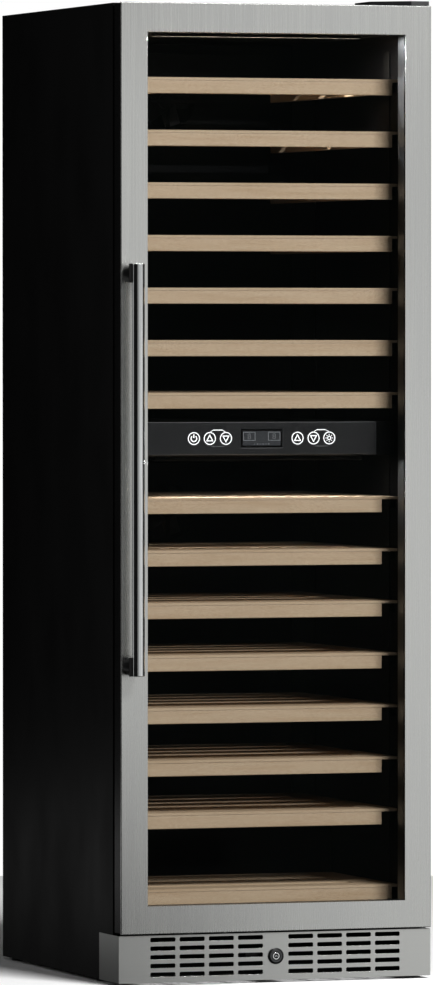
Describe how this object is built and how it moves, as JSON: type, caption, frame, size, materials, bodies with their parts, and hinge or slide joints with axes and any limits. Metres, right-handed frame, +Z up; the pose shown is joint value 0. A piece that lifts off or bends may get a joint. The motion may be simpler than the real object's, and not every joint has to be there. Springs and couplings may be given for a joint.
{
  "type": "wine cooler",
  "caption": "Tall dual-zone wine cooler: black cabinet, hinged glass door with a stainless border and bar handle, beech shelves, control panel and slotted kickplate.",
  "frame": {"origin": "on the floor, under the centre of the outline's box, which includes the handle", "axes": "+Z up, the door faces -Y, +X to the right of a person who faces the door"},
  "size_m": [0.599, 0.7516, 1.7785],
  "materials": {
    "brushed_stainless": "satin, grain along the length",
    "black_paint": "smooth satin paint",
    "black_satin_metal": "satin",
    "liner_plastic": "fine satin",
    "panel_plastic": "gloss",
    "key_plastic": "gloss with a white ring",
    "display_plastic": "clear gloss over black",
    "beech": "satin lacquer",
    "zinc_plate": "zinc plated",
    "bare_aluminium": "mill finish",
    "lock_chrome": "polished",
    "tinted_glass": "clear, lightly tinted",
    "seal_rubber": "matte",
    "foot_rubber": "matte",
    "insulation": "rigid foam",
    "lamp_diffuser": "white diffuser"
  },
  "bodies": {
    "cabinet": {"cabinet_shell": "black_paint", "rear_panel": "black_paint", "compressor": "black_paint", "condenser": "black_paint", "base_frame": "black_paint", "runner_rack_left": "black_paint", "runner_rack_right": "black_paint", "insulation_foam": "insulation", "inner_liner": "liner_plastic", "zone_divider": "liner_plastic", "duct_cover_upper": "liner_plastic", "duct_cover_lower": "liner_plastic", "hinge_cover": "liner_plastic", "lock_housing": "liner_plastic", "control_panel": "panel_plastic", "display_window": "display_plastic", "shelf_01": "beech", "shelf_02": "beech", "shelf_03": "beech", "shelf_04": "beech", "shelf_05": "beech", "shelf_06": "beech", "shelf_07": "beech", "shelf_08": "beech", "shelf_09": "beech", "shelf_10": "beech", "shelf_11": "beech", "shelf_12": "beech", "shelf_13": "beech", "shelf_14": "beech", "shelf_15": "beech", "hinge_top": "zinc_plate", "hinge_bottom": "zinc_plate", "lamp_upper": "lamp_diffuser", "lamp_lower": "lamp_diffuser", "evaporator_upper": "bare_aluminium", "evaporator_lower": "bare_aluminium", "kickplate": "brushed_stainless"},
    "door": {"door_skin": "brushed_stainless", "door_frame": "liner_plastic", "glass_outer": "tinted_glass", "glass_inner": "tinted_glass", "door_gasket": "seal_rubber", "handle_bar": "brushed_stainless", "handle_post_upper": "black_satin_metal", "handle_post_lower": "black_satin_metal"},
    "lock": {"lock_barrel": "lock_chrome"},
    "upper_fan": {"fan_upper": "liner_plastic"},
    "lower_fan": {"fan_lower": "liner_plastic"},
    "condenser_fan": {"fan_condenser": "liner_plastic"},
    "foot_front_left": {"foot_front_left": "foot_rubber"},
    "foot_front_right": {"foot_front_right": "foot_rubber"},
    "foot_rear_left": {"foot_rear_left": "foot_rubber"},
    "foot_rear_right": {"foot_rear_right": "foot_rubber"},
    "key_power": {"key_power": "key_plastic"},
    "key_upper_up": {"key_upper_up": "key_plastic"},
    "key_upper_down": {"key_upper_down": "key_plastic"},
    "key_lower_up": {"key_lower_up": "key_plastic"},
    "key_lower_down": {"key_lower_down": "key_plastic"},
    "key_light": {"key_light": "key_plastic"}
  },
  "joints": [
    {"name": "door_hinge", "type": "hinge", "parent": "cabinet", "child": "door", "pos_m": [0.286, -0.30025, 0.93], "axis": [0, 0, 1], "range_deg": [0, 110]},
    {"name": "lock_turn", "type": "hinge", "parent": "cabinet", "child": "lock", "pos_m": [0, -0.30625, 0.048], "axis": [0, 1, 0], "range_deg": [0, 90]},
    {"name": "upper_fan_spin", "type": "hinge", "parent": "cabinet", "child": "upper_fan", "pos_m": [0, 0.30125, 1.61], "axis": [0, 1, 0], "continuous": true},
    {"name": "lower_fan_spin", "type": "hinge", "parent": "cabinet", "child": "lower_fan", "pos_m": [0, 0.30125, 0.842], "axis": [0, 1, 0], "continuous": true},
    {"name": "condenser_fan_spin", "type": "hinge", "parent": "cabinet", "child": "condenser_fan", "pos_m": [-0.142, 0.21275, 0.1074], "axis": [0, 1, 0], "continuous": true},
    {"name": "foot_front_left_level", "type": "slide", "parent": "cabinet", "child": "foot_front_left", "axis": [0, 0, -1], "range_m": [0, 0.02]},
    {"name": "foot_front_right_level", "type": "slide", "parent": "cabinet", "child": "foot_front_right", "axis": [0, 0, -1], "range_m": [0, 0.02]},
    {"name": "foot_rear_left_level", "type": "slide", "parent": "cabinet", "child": "foot_rear_left", "axis": [0, 0, -1], "range_m": [0, 0.02]},
    {"name": "foot_rear_right_level", "type": "slide", "parent": "cabinet", "child": "foot_rear_right", "axis": [0, 0, -1], "range_m": [0, 0.02]},
    {"name": "key_power_press", "type": "slide", "parent": "cabinet", "child": "key_power", "axis": [0, 1, 0], "range_m": [0, 0.0008], "stiffness_N_per_m": 800},
    {"name": "key_upper_up_press", "type": "slide", "parent": "cabinet", "child": "key_upper_up", "axis": [0, 1, 0], "range_m": [0, 0.0008], "stiffness_N_per_m": 800},
    {"name": "key_upper_down_press", "type": "slide", "parent": "cabinet", "child": "key_upper_down", "axis": [0, 1, 0], "range_m": [0, 0.0008], "stiffness_N_per_m": 800},
    {"name": "key_lower_up_press", "type": "slide", "parent": "cabinet", "child": "key_lower_up", "axis": [0, 1, 0], "range_m": [0, 0.0008], "stiffness_N_per_m": 800},
    {"name": "key_lower_down_press", "type": "slide", "parent": "cabinet", "child": "key_lower_down", "axis": [0, 1, 0], "range_m": [0, 0.0008], "stiffness_N_per_m": 800},
    {"name": "key_light_press", "type": "slide", "parent": "cabinet", "child": "key_light", "axis": [0, 1, 0], "range_m": [0, 0.0008], "stiffness_N_per_m": 800}
  ]
}
